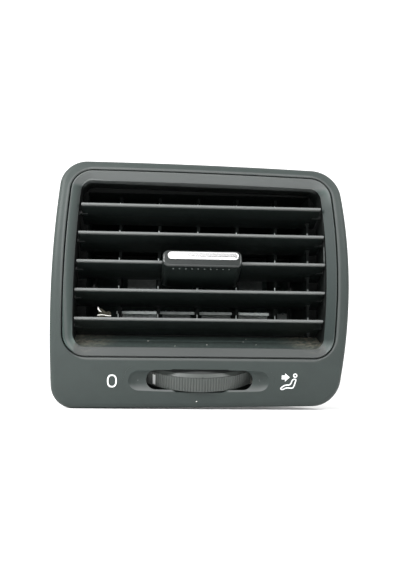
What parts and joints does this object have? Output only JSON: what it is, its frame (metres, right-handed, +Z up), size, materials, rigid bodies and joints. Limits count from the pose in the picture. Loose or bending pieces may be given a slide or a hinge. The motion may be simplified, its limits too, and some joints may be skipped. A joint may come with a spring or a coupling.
{
  "type": "dashboard air vent",
  "caption": "Rectangular dashboard air vent with tilting slats, a sliding knob that swings the vanes, and a thumbwheel that works a shut-off flap.",
  "frame": {"origin": "middle of the seat plane, where the fascia's rear rim lies on the dashboard, in line with the middle slat's pivot and the duct's middle", "axes": "+X to the viewer's right, +Y into the dashboard, +Z up; the vent faces -Y"},
  "size_m": [0.1595, 0.1132, 0.1337],
  "materials": {
    "fascia_plastic": "soft matte, fine grain",
    "bezel_plastic": "soft matte, fine grain",
    "duct_plastic": "moulded",
    "foam": "foam",
    "spring_steel": "zinc-plated",
    "pin_steel": "turned",
    "wheel_plastic": "soft matte, ribbed",
    "drive_plastic": "moulded, natural",
    "knob_plastic": "satin",
    "chrome_trim": "polished",
    "slat_plastic": "satin",
    "vane_plastic": "satin"
  },
  "bodies": {
    "housing": {"fascia": "fascia_plastic", "bezel": "bezel_plastic", "duct": "duct_plastic", "flap_housing": "duct_plastic", "outlet_gasket": "foam", "clips_top": "spring_steel", "clips_bottom": "spring_steel", "wheel_bracket": "duct_plastic", "wheel_pin": "pin_steel"},
    "slat_3": {"slat_3": "slat_plastic"},
    "slat_1": {"slat_1": "slat_plastic"},
    "slat_2": {"slat_2": "slat_plastic"},
    "slat_4": {"slat_4": "slat_plastic"},
    "slat_5": {"slat_5": "slat_plastic"},
    "slat_link": {"slat_link": "duct_plastic"},
    "knob": {"knob_body": "knob_plastic", "knob_trim": "chrome_trim", "knob_fork": "duct_plastic"},
    "vane_1": {"vane_1": "vane_plastic"},
    "vane_2": {"vane_2": "vane_plastic"},
    "vane_3": {"vane_3": "vane_plastic"},
    "vane_4": {"vane_4": "vane_plastic"},
    "vane_5": {"vane_5": "vane_plastic"},
    "vane_link": {"vane_link": "duct_plastic"},
    "thumbwheel": {"thumbwheel": "wheel_plastic"},
    "drive_slide": {"drive_slide": "drive_plastic"},
    "flap": {"flap_plate": "duct_plastic", "flap_seal": "foam", "flap_pinion": "drive_plastic"}
  },
  "joints": [
    {"name": "slat_3_tilt", "type": "hinge", "parent": "housing", "child": "slat_3", "pos_m": [0, 0.00017, 0], "axis": [1, 0, 0], "range_deg": [-1, 45]},
    {"name": "slat_1_tilt", "type": "hinge", "parent": "housing", "child": "slat_1", "pos_m": [0, 0.00017, 0.0308], "axis": [1, 0, 0], "range_deg": [-1, 45]},
    {"name": "slat_2_tilt", "type": "hinge", "parent": "housing", "child": "slat_2", "pos_m": [0, 0.00017, 0.0154], "axis": [1, 0, 0], "range_deg": [-1, 45]},
    {"name": "slat_4_tilt", "type": "hinge", "parent": "housing", "child": "slat_4", "pos_m": [0, 0.00017, -0.0154], "axis": [1, 0, 0], "range_deg": [-1, 45]},
    {"name": "slat_5_tilt", "type": "hinge", "parent": "housing", "child": "slat_5", "pos_m": [0, 0.00017, -0.0308], "axis": [1, 0, 0], "range_deg": [-1, 45]},
    {"name": "slat_link_pivot", "type": "hinge", "parent": "slat_3", "child": "slat_link", "pos_m": [0.0607, 0.00736, -0.00247], "axis": [1, 0, 0], "range_deg": [-45, 1]},
    {"name": "knob_slide", "type": "slide", "parent": "slat_3", "child": "knob", "axis": [1, 0, 0], "range_m": [-0.0098, 0.0098]},
    {"name": "vane_1_swing", "type": "hinge", "parent": "housing", "child": "vane_1", "pos_m": [-0.0446, 0.032, 0.00326], "axis": [0, 0, 1], "range_deg": [-33.62, 33.62]},
    {"name": "vane_2_swing", "type": "hinge", "parent": "housing", "child": "vane_2", "pos_m": [-0.0223, 0.032, 0.00326], "axis": [0, 0, 1], "range_deg": [-33.62, 33.62]},
    {"name": "vane_3_swing", "type": "hinge", "parent": "housing", "child": "vane_3", "pos_m": [0, 0.032, 0.00326], "axis": [0, 0, 1], "range_deg": [-33.62, 33.62]},
    {"name": "vane_4_swing", "type": "hinge", "parent": "housing", "child": "vane_4", "pos_m": [0.0223, 0.032, 0.00326], "axis": [0, 0, 1], "range_deg": [-33.62, 33.62]},
    {"name": "vane_5_swing", "type": "hinge", "parent": "housing", "child": "vane_5", "pos_m": [0.0446, 0.032, 0.00326], "axis": [0, 0, 1], "range_deg": [-33.62, 33.62]},
    {"name": "vane_link_pivot", "type": "hinge", "parent": "vane_3", "child": "vane_link", "pos_m": [0, 0.041, -0.02074], "axis": [0, 0, 1], "range_deg": [-33.62, 33.62]},
    {"name": "thumbwheel_turn", "type": "hinge", "parent": "housing", "child": "thumbwheel", "pos_m": [-0.0006, 0.01843, -0.05242], "axis": [0, -0.3007, 0.9537], "range_deg": [0, 88]},
    {"name": "drive_slide_travel", "type": "slide", "parent": "housing", "child": "drive_slide", "axis": [0, 0.9537, 0.3007], "range_m": [0, 0.01344]},
    {"name": "flap_turn", "type": "hinge", "parent": "housing", "child": "flap", "pos_m": [0, 0.069, -0.00574], "axis": [1, 0, 0], "range_deg": [0, 88]}
  ],
  "couplings": [
    {"joint": "slat_1_tilt", "follows": "slat_3_tilt", "ratio": 1},
    {"joint": "slat_2_tilt", "follows": "slat_3_tilt", "ratio": 1},
    {"joint": "slat_4_tilt", "follows": "slat_3_tilt", "ratio": 1},
    {"joint": "slat_5_tilt", "follows": "slat_3_tilt", "ratio": 1},
    {"joint": "slat_link_pivot", "follows": "slat_3_tilt", "ratio": -1},
    {"joint": "vane_1_swing", "follows": "knob_slide", "rad_per_m": 59.524},
    {"joint": "vane_2_swing", "follows": "knob_slide", "rad_per_m": 59.524},
    {"joint": "vane_3_swing", "follows": "knob_slide", "rad_per_m": 59.524},
    {"joint": "vane_4_swing", "follows": "knob_slide", "rad_per_m": 59.524},
    {"joint": "vane_5_swing", "follows": "knob_slide", "rad_per_m": 59.524},
    {"joint": "vane_link_pivot", "follows": "knob_slide", "rad_per_m": -59.524},
    {"joint": "drive_slide_travel", "follows": "thumbwheel_turn", "m_per_rad": 0.00875},
    {"joint": "flap_turn", "follows": "thumbwheel_turn", "ratio": 1}
  ]
}
